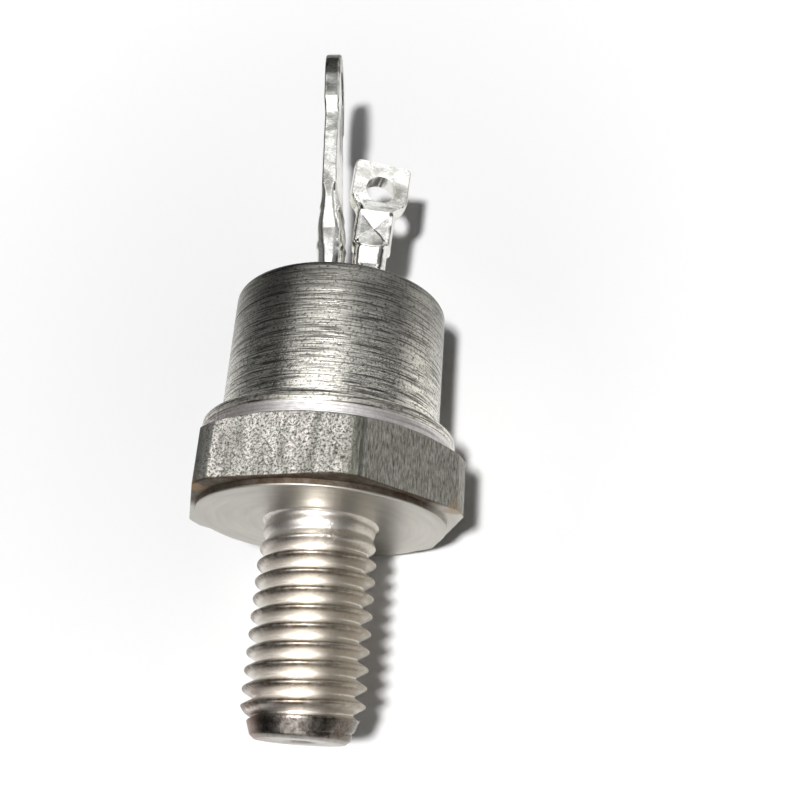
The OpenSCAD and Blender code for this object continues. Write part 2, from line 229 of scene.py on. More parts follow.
# Pale parts of the room that the metal shows. Each has the low and high end and the soft edge of
# its turn about Y, in degrees from +Z towards +X, the same of its direction's Y, and a brightness.
ROOM = [
    (-16, 26, 14, -1.1, 0.43, 0.05, 1.7),
    (48, 60, 8, -1.1, -0.45, 0.1, 0.6),
    (-25, 4, 2, 0.555, 0.612, 0.015, 1.55),
    (9, 88, 6, 0.53, 0.6, 0.02, 1.6),
    (36, 62, 10, 0.1, 0.53, 0.1, 0.15),
    (19, 85, 6, 0.7, 1.1, 0.05, 0.9),
    (-125, -50, 15, 0.1, 0.46, 0.05, 0.17),
]


def placed(point):
    """A point of the upright model, in millimetres, laid down into the frame, in metres."""
    x, y, z = point
    return Vector((x, z, -y)) * MM


def smoothstep(low, high, value):
    """0 below low, 1 above high, and a smooth rise between them."""
    share = min(1.0, max(0.0, (value - low) / (high - low)))
    return share * share * (3 - 2 * share)


def between(table, value):
    """Straight-line reading of a table of (value, number, ...) rows, as a list of the numbers."""
    if value <= table[0][0]:
        return list(table[0][1:])
    for low, high in zip(table, table[1:]):
        if value <= high[0]:
            share = (value - low[0]) / (high[0] - low[0])
            return [a + (b - a) * share for a, b in zip(low[1:], high[1:])]
    return list(table[-1][1:])


def arc(centre_r, centre_z, radius, start, end, steps=5):
    """Points of an arc in the (r, z) half plane, its angles in degrees."""
    turns = [math.radians(start + (end - start) * i / steps) for i in range(steps + 1)]
    return [(centre_r + radius * math.cos(t), centre_z + radius * math.sin(t)) for t in turns]


def circle(radius, z, steps):
    """Points of a level circle about the axis."""
    turns = [2 * math.pi * j / steps for j in range(steps)]
    return [(radius * math.cos(t), radius * math.sin(t), z) for t in turns]


def add_weighting(piece):
    """Shades a piece by the size of its faces."""
    piece.modifiers.new("weighted", "WEIGHTED_NORMAL").keep_sharp = True


def build(name, points, faces, material, node, sharp_angle=40):
    """A smooth mesh piece that stands for a CAD node and rides on the one body."""
    mesh = bpy.data.meshes.new(name)
    mesh.from_pydata([placed(p) for p in points], [], faces)
    work = bmesh.new()
    work.from_mesh(mesh)
    bmesh.ops.remove_doubles(work, verts=work.verts, dist=SAME_PLACE)
    bmesh.ops.dissolve_degenerate(work, edges=work.edges, dist=NO_LENGTH)
    bmesh.ops.recalc_face_normals(work, faces=work.faces)
    work.to_mesh(mesh)
    work.free()
    mesh.polygons.foreach_set("use_smooth", [True] * len(mesh.polygons))
    mesh.set_sharp_from_angle(angle=math.radians(sharp_angle))
    mesh.materials.append(material)
    piece = bpy.data.objects.new(name, mesh)
    bpy.context.scene.collection.objects.link(piece)
    add_weighting(piece)
    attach(piece, "root")
    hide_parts(node)
    return piece


def grid(rows, columns, closed_rows=False):
    """Quads of a grid whose columns close on themselves; its rows can close too."""
    faces = []
    for i in range(rows if closed_rows else rows - 1):
        for j in range(columns):
            low, high = i * columns, (i + 1) % rows * columns
            right = (j + 1) % columns
            faces.append((low + j, low + right, high + right, high + j))
    return faces


def capped(points, rows, columns):
    """Quads of a grid of points, with a face over its first row and one over its last."""
    first = tuple(range(columns))
    last = tuple(len(points) - columns + j for j in range(columns))
    return grid(rows, columns) + [first, last]


def lathe(profile, steps=192):
    """Points and quads of a closed (r, z) profile turned about the axis."""
    points = [point for r, z in profile for point in circle(r, z, steps)]
    return points, grid(len(profile), steps, closed_rows=True)


# Nodes

def new_material(name):
    """An empty node material, its tree, and its shader."""
    material = bpy.data.materials.new(name)
    material.use_nodes = True
    tree = material.node_tree
    return material, tree, tree.nodes["Principled BSDF"]


def add(tree, kind, inputs=None, **settings):
    """A node with its settings, and its inputs as values or as sockets to link from."""
    node = tree.nodes.new(kind)
    for key, value in settings.items():
        setattr(node, key, value)
    for key, value in (inputs or {}).items():
        if isinstance(value, bpy.types.NodeSocket):
            tree.links.new(value, node.inputs[key])
        else:
            node.inputs[key].default_value = value
    return node


def math_node(tree, operation, first, second=0.0, third=0.0):
    """The output of a math node."""
    return add(tree, "ShaderNodeMath", {0: first, 1: second, 2: third}, operation=operation).outputs[0]


def times(tree, first, second):
    """The product of two sockets or numbers."""
    return math_node(tree, "MULTIPLY", first, second)


def place_mm(tree):
    """Sockets of the place on the piece in millimetres: across, along the axis, up, and all three."""
    coordinates = add(tree, "ShaderNodeTexCoord").outputs["Object"]
    inputs = {0: coordinates, "Scale": 1 / MM}
    scaled = add(tree, "ShaderNodeVectorMath", inputs, operation="SCALE").outputs[0]
    split = add(tree, "ShaderNodeSeparateXYZ", {0: scaled})
    return split.outputs[0], split.outputs[1], split.outputs[2], scaled


def axis_distance(tree):
    """Distance from the axis, in millimetres."""
    x, _, z, _ = place_mm(tree)
    return math_node(tree, "SQRT", math_node(tree, "MULTIPLY_ADD", z, z, times(tree, x, x)))


def distance_mm(tree, centre):
    """Distance from a place, in millimetres."""
    inputs = {0: place_mm(tree)[3], 1: centre}
    return add(tree, "ShaderNodeVectorMath", inputs, operation="DISTANCE").outputs["Value"]


def stretched(tree, factors):
    """The place in millimetres, with each of its three parts multiplied by a factor."""
    inputs = {0: place_mm(tree)[3], 1: factors}
    return add(tree, "ShaderNodeVectorMath", inputs, operation="MULTIPLY").outputs[0]


def turned_vector(tree, around, along):
    """A texture vector that runs with the tool marks: around is small and along is large."""
    x, y, z, _ = place_mm(tree)
    return add(tree, "ShaderNodeCombineXYZ", {
        0: times(tree, math_node(tree, "ARCTAN2", x, z), around),
        1: times(tree, y, along),
        2: times(tree, axis_distance(tree), along)}).outputs[0]


def noise(tree, vector, scale, detail=3.0, roughness=0.55):
    """A noise texture's value."""
    return add(tree, "ShaderNodeTexNoise", {
        "Vector": vector, "Scale": scale, "Detail": detail, "Roughness": roughness}).outputs[0]


def noise_mm(tree, scale, detail=3.0, roughness=0.55):
    """A noise texture's value at the place in millimetres."""
    return noise(tree, place_mm(tree)[3], scale, detail, roughness)


def ramp(tree, value, low, high, low_out=0.0, high_out=1.0):
    """value moved from the range low to high into the range low_out to high_out, and held there."""
    return add(tree, "ShaderNodeMapRange", {
        0: value, 1: low, 2: high, 3: low_out, 4: high_out}, clamp=True).outputs[0]


def band(tree, value, low, high, edge):
    """1 where a value lies between low and high, with edges of the given width."""
    rise = ramp(tree, value, low - edge, low)
    return times(tree, rise, ramp(tree, value, high, high + edge, 1.0, 0.0))


def mixed(tree, share, first, second):
    """A colour between two colours or colour sockets."""
    node = add(tree, "ShaderNodeMix", data_type="RGBA")
    for index, value in ((0, share), (6, first), (7, second)):
        if isinstance(value, bpy.types.NodeSocket):
            tree.links.new(value, node.inputs[index])
        else:
            node.inputs[index].default_value = value if index == 0 else (*value, 1.0)
    return node.outputs[2]


def blended(tree, share, first, second):
    """A number between two numbers or sockets."""
    return add(tree, "ShaderNodeMix", {0: share, 2: first, 3: second}, data_type="FLOAT").outputs[0]


def bumped(tree, shader, height, strength, distance):
    """Puts a bump of the given height, in millimetres, on a shader."""
    bump = add(tree, "ShaderNodeBump", {"Height": height, "Strength": strength, "Distance": distance * MM})
    tree.links.new(bump.outputs[0], shader.inputs["Normal"])


def near(tree, centre, radius, ragged=0.6):
    """A ragged spot: 1 at a place in millimetres and 0 beyond the radius."""
    fraying = times(tree, noise_mm(tree, 2.5, 4.0, 0.7), 2 * ragged)
    frayed = math_node(tree, "ADD", distance_mm(tree, centre), fraying)
    return ramp(tree, frayed, radius * 0.5 + ragged, radius + ragged, 1.0, 0.0)


# Materials

def metal(name, colour, dark, roughness, shade, height, bump, distance=0.04, anisotropy=0.0):
    """A metal whose colour and roughness follow a shade socket, with a bump of a height socket.

    shade and height are functions that take the tree and give a socket. The bump's distance is in
    millimetres."""
    material, tree, shader = new_material(name)
    share = shade(tree)
    tree.links.new(mixed(tree, share, dark, colour), shader.inputs["Base Color"])
    tree.links.new(ramp(tree, share, 0.0, 1.0, roughness * 1.5, roughness), shader.inputs["Roughness"])
    shader.inputs["Metallic"].default_value = 1.0
    shader.inputs["Anisotropic"].default_value = anisotropy
    shader.inputs["Anisotropic Rotation"].default_value = 0.25
    tangent = add(tree, "ShaderNodeTangent", direction_type="RADIAL", axis="Y")
    tree.links.new(tangent.outputs[0], shader.inputs["Tangent"])
    bumped(tree, shader, height(tree), bump, distance)
    return material, tree, shader


def stain_or_painted_light(tree, shader, share, colour, roughness=0.6):
    """Lays a stain, or painted light or shade, over a metal's colour, roughness and shine, where share is 1.
    """
    under = shader.inputs["Base Color"].links[0].from_socket
    tree.links.new(mixed(tree, share, under, colour), shader.inputs["Base Color"])
    rough = shader.inputs["Roughness"].links[0].from_socket
    tree.links.new(blended(tree, share, rough, roughness), shader.inputs["Roughness"])
    tree.links.new(ramp(tree, share, 0.0, 1.0, 1.0, 0.45), shader.inputs["Metallic"])


def speckle(tree, scale, low=0.36, high=0.52):
    """Small dark specks in a metal's plate: 0 in a speck and 1 elsewhere."""
    return ramp(tree, noise_mm(tree, scale, 3.0, 0.6), low, high)


def specked(tree, low, high):
    """Brown specks over a turned edge; low is their share on the left and high on the right."""
    specks = ramp(tree, noise_mm(tree, 3.5, 4.0, 0.75), 0.46, 0.56)
    return times(tree, specks, ramp(tree, place_mm(tree)[0], -4.2, -0.5, low, high))


def turned_marks(tree, fine=17.0):
    """Height of the tool marks of a turned surface, which run round the axis."""
    wide = noise(tree, turned_vector(tree, 1.1, 5.0), 1.0, 3.0, 0.6)
    thin = noise(tree, turned_vector(tree, 3.0, fine), 1.0, 3.0, 0.65)
    both = math_node(tree, "ADD", times(tree, wide, 0.5), times(tree, thin, 0.35))
    return math_node(tree, "ADD", both, times(tree, noise_mm(tree, 7.0, 2.0, 0.6), 0.22))


def cap_metal():
    """Nickel plate on the cap, with marks of its turning, dark specks, a dark rim, and painted shade that
    darkens it towards the top.
    """
    def shade(tree):
        lines = ramp(tree, noise(tree, turned_vector(tree, 2.2, 11.0), 1.0, 4.0, 0.65), 0.4, 0.53)
        # Painted shade: the wall is painted darker towards the top.
        painted_top_shade = ramp(tree, place_mm(tree)[1], 5.5, 11.5, 1.0, 0.3)
        return times(tree, times(tree, lines, painted_top_shade), speckle(tree, 7.0, 0.31, 0.5))

    material, tree, shader = metal("cap_nickel", (0.95, 0.92, 0.82), (0.1, 0.095, 0.085), 0.23,
                                   shade, turned_marks, 1.0, anisotropy=0.5)
    away = axis_distance(tree)
    high = ramp(tree, place_mm(tree)[1], CAP_TOP - 0.4, CAP_TOP - 0.15)
    rim = times(tree, high, ramp(tree, away, CAP_R - 0.6, CAP_R - 0.4))
    stain_or_painted_light(tree, shader, times(tree, rim, 0.75), RIM_DARK, 0.3)
    flange = ramp(tree, away, CAP_R + 0.02, CAP_R + 0.06)
    stain_or_painted_light(tree, shader, times(tree, flange, specked(tree, 0.7, 0.25)), FLANGE_BROWN, 0.45)
    return material


def ring_metal():
    """Nickel plate on the weld ring, turned more coarsely and specked."""
    def shade(tree):
        return ramp(tree, noise(tree, turned_vector(tree, 1.5, 8.0), 1.0, 4.0, 0.6), 0.35, 0.6)

    material, tree, shader = metal("ring_nickel", (0.88, 0.85, 0.83), (0.36, 0.34, 0.33), 0.36,
                                   shade, turned_marks, 0.9)
    stain_or_painted_light(tree, shader, specked(tree, 0.8, 0.2), RING_BROWN, 0.45)
    return material


def hexagon_metal():
    """Dull nickel plate on the base: turned ends, drawn flats with painted light and shade, brown along the
    lower edge, and painted dark corner reflections.
    """
    def flat_mask(tree):
        sides = ramp(tree, axis_distance(tree), APOTHEM - 0.01, APOTHEM)
        return times(tree, sides, band(tree, place_mm(tree)[1], SEAT_H + 0.06, HEX_TOP - 0.05, 0.02))

    def top_mask(tree):
        return ramp(tree, place_mm(tree)[2], APOTHEM - 0.6, APOTHEM - 0.25)

    def drawn(tree):
        return noise(tree, stretched(tree, (11.0, 2.2, 11.0)), 1.0, 4.0, 0.7)

    def peened(tree):
        return noise_mm(tree, 7.5, 5.0, 0.9)

    def height(tree):
        turned = times(tree, turned_marks(tree, 14.0), 0.12)
        flats = blended(tree, top_mask(tree), drawn(tree), peened(tree))
        return blended(tree, flat_mask(tree), turned, flats)

    def shade(tree):
        # Painted light and shade: the flat that faces up is painted lighter and the other flats darker, over
        # their real grain.
        sides = ramp(tree, drawn(tree), 0.32, 0.64, 0.0, 0.42)
        streaks = noise(tree, stretched(tree, (2.2, 0.5, 2.2)), 1.0, 3.0, 0.6)
        streaked = ramp(tree, streaks, 0.3, 0.65, 0.3, 1.0)
        painted_lit_top_flat = times(tree, ramp(tree, peened(tree), 0.44, 0.54), streaked)
        flats = blended(tree, top_mask(tree), sides, painted_lit_top_flat)
        rings = noise(tree, turned_vector(tree, 1.5, 2.0), 1.0, 3.0)
        return blended(tree, flat_mask(tree), ramp(tree, rings, 0.2, 0.7, 0.4, 0.54), flats)

    material, tree, shader = metal("hexagon_nickel", (0.93, 0.89, 0.83), (0.07, 0.07, 0.045), 0.32,
                                   shade, height, 1.0, 0.055)
    x, y, z, _ = place_mm(tree)
    turn = math_node(tree, "ARCTAN2", x, z)
    # A patchy dark brown band over the seat's side and the flats' underside, along the front half of the
    # turn.
    outer = ramp(tree, axis_distance(tree), SEAT_R - 0.06, SEAT_R)
    edge = times(tree, band(tree, y, SEAT_ROUND, SEAT_H + 0.08, 0.06), outer)
    edge = times(tree, edge, band(tree, turn, -0.95, 1.25, 0.2))
    patchy = times(tree, edge, ramp(tree, noise_mm(tree, 1.6, 4.0, 0.7), 0.3, 0.62, 0.75, 0.97))
    stain_or_painted_light(tree, shader, patchy, EDGE_BROWN)
    # Painted dark reflection along the two turned corners beside the top flat.
    right_corner_reflection = band(tree, turn, 0.56, 0.62, 0.025)
    left_corner_reflection = band(tree, turn, -0.63, -0.44, 0.01)
    corner_reflection = math_node(tree, "MAXIMUM", right_corner_reflection, left_corner_reflection)
    corner_reflection = times(tree, corner_reflection, band(tree, y, SEAT_H + 0.04, HEX_TOP, 0.05))
    stain_or_painted_light(tree, shader, times(tree, corner_reflection, 0.6), CORNER_REFLECTION_DARK, 0.4)
    left = near(tree, (-4.6, 0.55, 6.1), 0.9)
    stain_or_painted_light(tree, shader, times(tree, left, 0.8), LEFT_CORNER_BROWN)
    right = near(tree, (7.5, 0.4, 0.6), 0.7)
    stain_or_painted_light(tree, shader, times(tree, right, 0.6), RIGHT_CORNER_BROWN)
    return material


def stud_metal():
    """Satin plate on the thread: painted highlight in the grooves, painted shade on the crests and the right
    side, and a dark point with red-brown rust.
    """
    def shade(tree):
        return ramp(tree, noise_mm(tree, 5.0, 4.0, 0.6), 0.25, 0.5, 0.3, 1.0)

    def height(tree):
        dents = near(tree, (1.6, -1.35, 2.6), 0.7, 0.5)
        pits = times(tree, dents, noise_mm(tree, 6.0, 3.0, 0.7))
        marks = times(tree, noise_mm(tree, 7.0, 4.0, 0.65), 0.4)
        return math_node(tree, "ADD", marks, times(tree, pits, 3.0))

    material, tree, shader = metal("stud_nickel", (0.74, 0.7, 0.65), (0.4, 0.34, 0.28), 0.36,
                                   shade, height, 0.6)
    x, y, _, _ = place_mm(tree)
    away = axis_distance(tree)
    # Painted highlight in the thread's grooves, fading towards the right side.
    groove_highlight = times(tree, ramp(tree, away, 2.6, 3.0, 1.0, 0.0), ramp(tree, x, 1.5, 2.5, 0.88, 0.1))
    stain_or_painted_light(tree, shader, groove_highlight, GROOVE_HIGHLIGHT, 0.5)
    # Painted shade on the thread's crests, in patches, away from the seat.
    crest = times(tree, ramp(tree, away, 2.88, 3.06), ramp(tree, y, -1.8, -1.2, 1.0, 0.0))
    crest_shade_patches = ramp(tree, noise_mm(tree, 2.2, 4.0, 0.7), 0.35, 0.6, 0.45, 0.9)
    stain_or_painted_light(tree, shader, times(tree, crest, crest_shade_patches), CREST_SHADE_BROWN, 0.36)
    # Painted shade on the right side of the stud.
    stain_or_painted_light(tree, shader, ramp(tree, x, 1.2, 2.5, 0.0, 0.45), SIDE_SHADE_OLIVE, 0.4)
    low = ramp(tree, y, -9.6, -8.6, 1.0, 0.0)
    patches = ramp(tree, noise_mm(tree, 1.1, 4.0, 0.7), 0.42, 0.62)
    share = times(tree, times(tree, low, patches), ramp(tree, x, -2.2, -0.5, 1.0, 0.12))
    stain_or_painted_light(tree, shader, times(tree, share, 0.75), THREAD_RED, 0.45)
    point_top = POINT_PROFILE[1][1]
    point = ramp(tree, y, point_top, point_top + 0.18, 1.0, 0.0)
    end = ramp(tree, y, 0.07 - STUD_L, 0.15 - STUD_L, 0.6, 1.0)
    mottled = ramp(tree, noise_mm(tree, 3.5, 4.0, 0.75), 0.36, 0.62, 0.82, 1.08)
    dark = times(tree, times(tree, times(tree, point, 0.88), end), mottled)
    stain_or_painted_light(tree, shader, dark, POINT_DARK, 0.25)
    rust = times(tree, point, ramp(tree, x, -2.2, -0.9, 0.65, 0.0))
    stain_or_painted_light(tree, shader, times(tree, rust, mottled), POINT_RUST, 0.35)
    return material


def lead_metal():
    """Tin-dipped terminals: bright, wavy and unevenly tarnished, with a painted dark reflection on the tall
    one's tip.
    """
    def shade(tree):
        cloud = ramp(tree, noise_mm(tree, 1.3, 4.0, 0.65), 0.36, 0.52, 0.45, 1.0)
        return times(tree, cloud, ramp(tree, speckle(tree, 6.0), 0.0, 1.0, 0.7, 1.0))

    def height(tree):
        waves = noise_mm(tree, 0.7, 1.0, 0.4)
        return math_node(tree, "ADD", waves, times(tree, noise_mm(tree, 5.0, 3.0, 0.6), 0.06))

    material, tree, shader = metal("tinned_lead", (0.93, 0.92, 0.87), (0.5, 0.48, 0.42), 0.15,
                                   shade, height, 0.5, 0.1)
    # Painted dark reflection, in patches, on the tall terminal's tip.
    tip_reflection = ramp(tree, place_mm(tree)[1], TANG_TOP - 3.0, TANG_TOP - 2.4)
    patches = ramp(tree, noise_mm(tree, 3.0, 4.0), 0.3, 0.6, 0.4, 0.85)
    stain_or_painted_light(tree, shader, times(tree, tip_reflection, patches), TIP_REFLECTION_DARK, 0.3)
    clouds = ramp(tree, noise_mm(tree, 2.5, 4.0), 0.35, 0.6, 0.3, 0.8)
    beside = times(tree, near(tree, (2.75, 21.3, -0.65), 0.95, 0.4), clouds)
    stain_or_painted_light(tree, shader, beside, GATE_GREY, 0.3)
    return material


def plain_metal(name, colour, roughness):
    """A metal with an even fine grain."""
    def grains(tree):
        return ramp(tree, noise_mm(tree, 6.0, 4.0), 0.3, 0.7)
    return metal(name, colour, tuple(0.8 * c for c in colour), roughness, grains, grains, 0.2, 0.02)[0]


def glassy(name, colour):
    """Dark fused glass, drawn as an opaque smooth surface."""
    material, tree, shader = new_material(name)
    cloud = noise_mm(tree, 1.2)
    tree.links.new(mixed(tree, cloud, colour, tuple(0.5 * c for c in colour)), shader.inputs["Base Color"])
    shader.inputs["Roughness"].default_value = 0.08
    shader.inputs["Coat Weight"].default_value = 0.4
    bumped(tree, shader, cloud, 0.1, 0.05)
    return material


def matte(name, colour, roughness):
    """A dull surface with a slight grain."""
    material, tree, shader = new_material(name)
    grains = noise_mm(tree, 8.0)
    tree.links.new(mixed(tree, grains, tuple(0.85 * c for c in colour), colour), shader.inputs["Base Color"])
    shader.inputs["Roughness"].default_value = roughness
    bumped(tree, shader, grains, 0.15, 0.02)
    return material


# Base

def hexagon_radius(turn):
    """Outer radius of the hexagon with turned corners, a little rounded where they meet."""
    from_flat = (math.degrees(turn) % 60) - 30
    flat = APOTHEM / math.cos(math.radians(from_flat))
    return (flat + CORNER_R - math.sqrt((flat - CORNER_R) ** 2 + CORNER_BLEND ** 2)) / 2


def hexagon_profile(outer):
    """Profile of the base at one turn where the hexagon reaches outer, from the seat to the pedestal."""
    edge = EDGE_ROUND
    bevel_low = HEX_TOP - (outer - BEVEL_R) * BEVEL_SLOPE
    slope = math.atan(BEVEL_SLOPE)
    tuck = edge * math.tan((math.pi / 2 - slope) / 2)
    break_edge = 0.3 * SEAT_ROUND
    low = [(CORE_R, 0.0), (SEAT_R - SEAT_ROUND, 0.0), (SEAT_R - break_edge, break_edge),
           (SEAT_R, SEAT_ROUND), (SEAT_R, SEAT_H)]
    foot = arc(outer - edge, SEAT_H + edge, edge, -90, 0)
    brow = arc(outer - edge, bevel_low - tuck, edge, 0, 90 - math.degrees(slope))
    top = [(BEVEL_R + HAIR, HEX_TOP), (PEDESTAL_R, HEX_TOP), (PEDESTAL_R, PEDESTAL_TOP),
           (CORE_R, PEDESTAL_TOP)]
    return low + foot + brow + top


def hexagon_turns():
    """Turns of the columns, close together where the flats meet the turned corners."""
    corner = math.degrees(math.acos(APOTHEM / CORNER_R))
    offsets = [-30 + 60 * i / SIDE_COLUMNS for i in range(SIDE_COLUMNS)]
    offsets += [side * (corner + d) for side in (-1, 1) for d in CORNER_COLUMNS]
    return sorted(math.radians(60 * k + 30 + o) for k in range(6) for o in set(offsets))


def make_hexagon(material):
    """Seat, hexagon and pedestal of the base."""
    turns = hexagon_turns()
    columns = [hexagon_profile(hexagon_radius(t)) for t in turns]
    rows = len(columns[0])
    points = [(columns[j][i][0] * math.cos(t), columns[j][i][0] * math.sin(t), columns[j][i][1])
              for i in range(rows) for j, t in enumerate(turns)]
    faces = capped(points, rows, len(turns))
    build("base_hexagon", points, faces, material, "stud_base", 20)


def thread_depth(offset):
    """Depth under the crest at an axial offset from it, with a rounded crest and root."""
    offset = abs(offset)
    flank_start = CREST_ROUND * math.sin(FLANK)
    if offset < flank_start:
        return CREST_ROUND - math.sqrt(CREST_ROUND ** 2 - offset ** 2)
    flank = CREST_ROUND * (1 - math.cos(FLANK)) + (offset - flank_start) * math.tan(FLANK)
    from_root = min(PITCH / 2 - offset, ROOT_ROUND)
    root = THREAD_DEPTH - ROOT_ROUND + math.sqrt(max(0.0, ROOT_ROUND ** 2 - from_root ** 2))
    return min(flank, root)


def stud_radius(z, depth):
    """Radius of the stud at a height, for a thread depth: run-out above, point cone below."""
    runout = smoothstep(RUNOUT_START, RUNOUT_END, -z)
    share = NECK_DEPTH_SHARE + (1 - NECK_DEPTH_SHARE) * runout
    radius = NECK_R * (1 - runout) + CREST_R * runout - depth * share
    if z > -FILLET_R:
        radius += FILLET_R - math.sqrt(FILLET_R ** 2 - (z + FILLET_R) ** 2)
    point = [(-height, r) for r, height in POINT_PROFILE]
    return min(radius, between(point, -z)[0])


def thread_points(rows):
    """Points of rows that follow the helix, held between the seat and the end face."""
    left = math.pi + ROW_TURN
    points = []
    for row in rows:
        depth = thread_depth(row - PITCH * round(row / PITCH))
        for j in range(STUD_COLUMNS + 1):
            turn = 2 * math.pi * j / STUD_COLUMNS
            z = CREST_LEFT_Z + row + PITCH * (turn - left) / (2 * math.pi)
            z = max(-STUD_L, min(STUD_SINK, z))
            radius = stud_radius(min(0.0, z), depth)
            points.append((radius * math.cos(turn), radius * math.sin(turn), z))
    return points


def make_stud(material):
    """Threaded stud, with its end face and centre mark."""
    offsets = [-PITCH / 2] + [-o for o in reversed(THREAD_OFFSETS)] + [0.0] + THREAD_OFFSETS
    turns_down = int(STUD_L / PITCH) + 2
    rows = [k * PITCH + d for k in range(-turns_down, TURNS_ABOVE) for d in offsets]
    points = thread_points(rows)
    width = STUD_COLUMNS + 1
    faces = []
    for i in range(len(rows) - 1):
        for j in range(STUD_COLUMNS):
            low, high = i * width + j, (i + 1) * width + j
            faces.append((low, low + 1, high + 1, high))
    floor = MARK_DEPTH - STUD_L
    mark = [(POINT_PROFILE[-1][0], -STUD_L), (MARK_R + MARK_EDGE, -STUD_L),
            (MARK_R, MARK_EDGE - STUD_L), (MARK_FLOOR_R, floor), (MARK_CORE_R, floor)]
    first = len(points)
    for r, z in mark:
        points += circle(r, z, STUD_COLUMNS)
    faces += [tuple(first + v for v in face) for face in grid(len(mark), STUD_COLUMNS)]
    faces.append(tuple(len(points) - STUD_COLUMNS + j for j in range(STUD_COLUMNS)))
    build("threaded_stud", points, faces, material, "stud_base", 50)


# Ring, cap and glass

def make_ring(material):
    """Weld ring between the hexagon and the cap's flange."""
    profile = [(RING_INNER_R, HEX_TOP), (RING_R, HEX_TOP), (RING_R, RING_TOP - RING_EDGE),
               (RING_R - RING_EDGE, RING_TOP), (RING_INNER_R, RING_TOP)]
    points, faces = lathe(profile)
    build("ring", points, faces, material, "weld_ring")


def cap_profile():
    """Closed profile of the cap: flange, wall with a scribed line, rim, top, collar and inside."""
    inner = CAP_R - CAP_WALL
    edge_r = RING_R - FLANGE_ROUND
    edge_z = FLANGE_EDGE_TOP - FLANGE_ROUND
    slope_r = edge_r + FLANGE_ROUND * math.sin(FLANGE_SLOPE)
    slope_z = edge_z + FLANGE_ROUND * math.cos(FLANGE_SLOPE)
    foot_z = slope_z + (slope_r - CAP_R) * math.tan(FLANGE_SLOPE)
    flange = [(inner, RING_TOP), (RING_R - RING_EDGE, RING_TOP), (RING_R, RING_TOP + RING_EDGE)]
    flange += arc(edge_r, edge_z, FLANGE_ROUND, 0, 90 - math.degrees(FLANGE_SLOPE))
    foot = [(CAP_R + 0.12, foot_z - 0.12 * math.tan(FLANGE_SLOPE)), (CAP_R + 0.03, foot_z - 0.05),
            (CAP_R, foot_z + 0.02)]
    scribe = [(CAP_R, SCRIBE_Z - 0.05), (CAP_R - SCRIBE_DEPTH, SCRIBE_Z - 0.01),
              (CAP_R - SCRIBE_DEPTH, SCRIBE_Z + 0.01), (CAP_R, SCRIBE_Z + 0.05)]
    rim = arc(CAP_R - RIM_ROUND, CAP_TOP - RIM_ROUND, RIM_ROUND, 0, 90)
    collar = [(GLASS_R + 0.15, CAP_TOP), (GLASS_R + 0.03, CAP_TOP - 0.05), (GLASS_R, CAP_TOP - 0.2),
              (GLASS_R, CAP_TOP - COLLAR_L), (GLASS_R + CAP_WALL, CAP_TOP - COLLAR_L),
              (GLASS_R + CAP_WALL, CAP_TOP - CAP_WALL), (inner, CAP_TOP - CAP_WALL)]
    return flange + foot + scribe + rim + collar


def make_cap(material):
    """Drawn and turned cap."""
    points, faces = lathe(cap_profile(), 256)
    build("can", points, faces, material, "cap", 30)


def glass_height(x, y):
    """Height of the glass at a place: a shallow dome that climbs the collar and both tubes."""
    radius = math.hypot(x, y)
    height = GLASS_EDGE - GLASS_DIP + GLASS_RISE * (1 - (radius / GLASS_R) ** 2)
    height += COLLAR_CLIMB * math.exp(-(GLASS_R - radius) / COLLAR_REACH)
    for tube in (CATHODE_X, GATE_X):
        away = math.hypot(x - tube * math.cos(ROW_TURN), y - tube * math.sin(ROW_TURN)) - TUBE_R
        height += TUBE_CLIMB * math.exp(-max(0.0, away) / TUBE_REACH)
    return height


def make_glass(material):
    """Glass seal with menisci round the two tubes and along the collar."""
    points = []
    for i in range(GLASS_RINGS):
        radius = GLASS_R * (i + 0.5) / (GLASS_RINGS - 0.5)
        points += [(x, y, glass_height(x, y)) for x, y, _ in circle(radius, 0.0, GLASS_STEPS)]
    for radius in (GLASS_R, GLASS_CORE_R):
        points += circle(radius, GLASS_EDGE - GLASS_H, GLASS_STEPS)
    faces = capped(points, GLASS_RINGS + 2, GLASS_STEPS)
    build("seal", points, faces, material, "glass_seal", 60)


# Terminals

def section(width, thick, corner, count):
    """Points of a rectangle with round corners, spaced evenly along its outline."""
    corner = min(corner, width / 2 - 0.1 * HAIR, thick / 2 - 0.1 * HAIR)
    flat_w, flat_t = width - 2 * corner, thick - 2 * corner
    quarter = math.pi * corner / 2
    sides = [flat_t / 2, quarter, flat_w, quarter, flat_t, quarter, flat_w, quarter, flat_t / 2]
    total = sum(sides)
    half_w, half_t = width / 2, thick / 2
    corners = [(half_w - corner, half_t - corner, 0), (corner - half_w, half_t - corner, 90),
               (corner - half_w, corner - half_t, 180), (half_w - corner, corner - half_t, 270)]
    points = []
    for i in range(count):
        run, k = total * i / count, 0
        while run > sides[k] and k < len(sides) - 1:
            run -= sides[k]
            k += 1
        if k % 2:
            x0, y0, start = corners[k // 2]
            turn = math.radians(start) + run / corner
            points.append((x0 + corner * math.cos(turn), y0 + corner * math.sin(turn)))
        else:
            straight = {0: (half_w, run), 2: (half_w - corner - run, half_t),
                        4: (-half_w, half_t - corner - run), 6: (corner - half_w + run, -half_t),
                        8: (half_w, corner - half_t + run)}
            points.append(straight[k])
    return points


def bent(lean, height):
    """Lean at a height along a terminal that bends softly at BEND_Z."""
    return lean * smoothstep(BEND_Z - BEND_HALF, BEND_Z + BEND_HALF, height)


